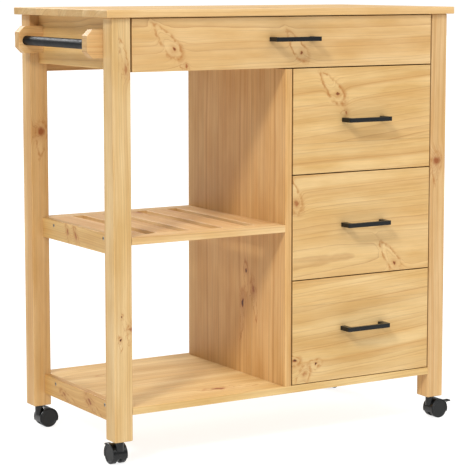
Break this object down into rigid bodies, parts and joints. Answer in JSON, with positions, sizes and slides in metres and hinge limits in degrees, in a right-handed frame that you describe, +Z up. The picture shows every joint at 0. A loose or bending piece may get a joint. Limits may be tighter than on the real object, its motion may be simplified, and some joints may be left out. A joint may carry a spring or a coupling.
{
  "type": "kitchen island cart",
  "caption": "Pine kitchen cart on swivel casters: open bay with a slatted shelf beside a column of drawers, a wide drawer under the top and a towel bar on one end.",
  "frame": {"origin": "on the floor, at the middle of the bounding box's footprint", "axes": "+X to the cart's right (the drawer column's side), +Y to the back, +Z up; the drawers open towards -Y"},
  "size_m": [0.878, 0.448, 0.9],
  "materials": {
    "pine": "clear waxed knotty pine",
    "thin_board": "thin pine-faced board",
    "black_metal": "satin black powder coat",
    "zinc_steel": "zinc-plated steel",
    "black_plastic": "moulded black nylon",
    "wheel_plastic": "hard black caster wheel"
  },
  "bodies": {
    "frame": {"tabletop": "pine", "leg_front_left": "pine", "leg_front_right": "pine", "leg_rear_left": "pine", "leg_rear_right": "pine", "apron_left": "pine", "apron_rear": "pine", "side_panel_right": "pine", "partition": "pine", "back_panel": "thin_board", "frame_screws": "zinc_steel", "lower_side_rail": "pine", "middle_side_rail": "pine", "lower_shelf": "pine", "middle_cross_rails": "pine", "middle_slats": "pine", "towel_bar": "black_metal", "towel_brackets": "pine", "drawer_runners": "pine", "caster_sockets": "zinc_steel"},
    "drawer_top": {"drawer_top_front": "pine", "drawer_top_sides": "pine", "drawer_top_back": "pine", "drawer_top_bottom": "thin_board", "drawer_top_handle": "black_metal"},
    "drawer_upper": {"drawer_upper_front": "pine", "drawer_upper_sides": "pine", "drawer_upper_back": "pine", "drawer_upper_bottom": "thin_board", "drawer_upper_handle": "black_metal"},
    "drawer_middle": {"drawer_middle_front": "pine", "drawer_middle_sides": "pine", "drawer_middle_back": "pine", "drawer_middle_bottom": "thin_board", "drawer_middle_handle": "black_metal"},
    "drawer_lower": {"drawer_lower_front": "pine", "drawer_lower_sides": "pine", "drawer_lower_back": "pine", "drawer_lower_bottom": "thin_board", "drawer_lower_handle": "black_metal"},
    "caster_front_left": {"caster_front_left_hood": "black_plastic", "caster_front_left_pins": "zinc_steel"},
    "caster_front_left_wheel_a": {"caster_front_left_wheel_a": "wheel_plastic"},
    "caster_front_left_wheel_b": {"caster_front_left_wheel_b": "wheel_plastic"},
    "caster_front_left_lever": {"caster_front_left_lever": "black_plastic"},
    "caster_front_right": {"caster_front_right_hood": "black_plastic", "caster_front_right_pins": "zinc_steel"},
    "caster_front_right_wheel_a": {"caster_front_right_wheel_a": "wheel_plastic"},
    "caster_front_right_wheel_b": {"caster_front_right_wheel_b": "wheel_plastic"},
    "caster_front_right_lever": {"caster_front_right_lever": "black_plastic"},
    "caster_rear_left": {"caster_rear_left_hood": "black_plastic", "caster_rear_left_pins": "zinc_steel"},
    "caster_rear_left_wheel_a": {"caster_rear_left_wheel_a": "wheel_plastic"},
    "caster_rear_left_wheel_b": {"caster_rear_left_wheel_b": "wheel_plastic"},
    "caster_rear_right": {"caster_rear_right_hood": "black_plastic", "caster_rear_right_pins": "zinc_steel"},
    "caster_rear_right_wheel_a": {"caster_rear_right_wheel_a": "wheel_plastic"},
    "caster_rear_right_wheel_b": {"caster_rear_right_wheel_b": "wheel_plastic"}
  },
  "joints": [
    {"name": "drawer_top_slide", "type": "slide", "parent": "frame", "child": "drawer_top", "axis": [0, -1, 0], "range_m": [0, 0.25]},
    {"name": "drawer_upper_slide", "type": "slide", "parent": "frame", "child": "drawer_upper", "axis": [0, -1, 0], "range_m": [0, 0.25]},
    {"name": "drawer_middle_slide", "type": "slide", "parent": "frame", "child": "drawer_middle", "axis": [0, -1, 0], "range_m": [0, 0.25]},
    {"name": "drawer_lower_slide", "type": "slide", "parent": "frame", "child": "drawer_lower", "axis": [0, -1, 0], "range_m": [0, 0.25]},
    {"name": "caster_front_left_swivel", "type": "hinge", "parent": "frame", "child": "caster_front_left", "pos_m": [-0.385, -0.173, 0.05], "axis": [0, 0, 1], "continuous": true},
    {"name": "caster_front_left_wheel_a_spin", "type": "hinge", "parent": "caster_front_left", "child": "caster_front_left_wheel_a", "pos_m": [-0.385, -0.1565, 0.02], "axis": [-1, 0, 0], "continuous": true},
    {"name": "caster_front_left_wheel_b_spin", "type": "hinge", "parent": "caster_front_left", "child": "caster_front_left_wheel_b", "pos_m": [-0.385, -0.1565, 0.02], "axis": [-1, 0, 0], "continuous": true},
    {"name": "caster_front_left_lever_tip", "type": "hinge", "parent": "caster_front_left", "child": "caster_front_left_lever", "pos_m": [-0.385, -0.1344, 0.0323], "axis": [-1, 0, 0], "range_deg": [0, 18]},
    {"name": "caster_front_right_swivel", "type": "hinge", "parent": "frame", "child": "caster_front_right", "pos_m": [0.385, -0.173, 0.05], "axis": [0, 0, 1], "continuous": true},
    {"name": "caster_front_right_wheel_a_spin", "type": "hinge", "parent": "caster_front_right", "child": "caster_front_right_wheel_a", "pos_m": [0.4015, -0.173, 0.02], "axis": [0, 1, 0], "continuous": true},
    {"name": "caster_front_right_wheel_b_spin", "type": "hinge", "parent": "caster_front_right", "child": "caster_front_right_wheel_b", "pos_m": [0.4015, -0.173, 0.02], "axis": [0, 1, 0], "continuous": true},
    {"name": "caster_front_right_lever_tip", "type": "hinge", "parent": "caster_front_right", "child": "caster_front_right_lever", "pos_m": [0.4236, -0.173, 0.0323], "axis": [0, 1, 0], "range_deg": [0, 18]},
    {"name": "caster_rear_left_swivel", "type": "hinge", "parent": "frame", "child": "caster_rear_left", "pos_m": [-0.385, 0.197, 0.05], "axis": [0, 0, 1], "continuous": true},
    {"name": "caster_rear_left_wheel_a_spin", "type": "hinge", "parent": "caster_rear_left", "child": "caster_rear_left_wheel_a", "pos_m": [-0.3685, 0.197, 0.02], "axis": [0, 1, 0], "continuous": true},
    {"name": "caster_rear_left_wheel_b_spin", "type": "hinge", "parent": "caster_rear_left", "child": "caster_rear_left_wheel_b", "pos_m": [-0.3685, 0.197, 0.02], "axis": [0, 1, 0], "continuous": true},
    {"name": "caster_rear_right_swivel", "type": "hinge", "parent": "frame", "child": "caster_rear_right", "pos_m": [0.385, 0.197, 0.05], "axis": [0, 0, 1], "continuous": true},
    {"name": "caster_rear_right_wheel_a_spin", "type": "hinge", "parent": "caster_rear_right", "child": "caster_rear_right_wheel_a", "pos_m": [0.37005, 0.19003, 0.02], "axis": [0.4226, -0.9063, 0], "continuous": true},
    {"name": "caster_rear_right_wheel_b_spin", "type": "hinge", "parent": "caster_rear_right", "child": "caster_rear_right_wheel_b", "pos_m": [0.37005, 0.19003, 0.02], "axis": [0.4226, -0.9063, 0], "continuous": true}
  ]
}
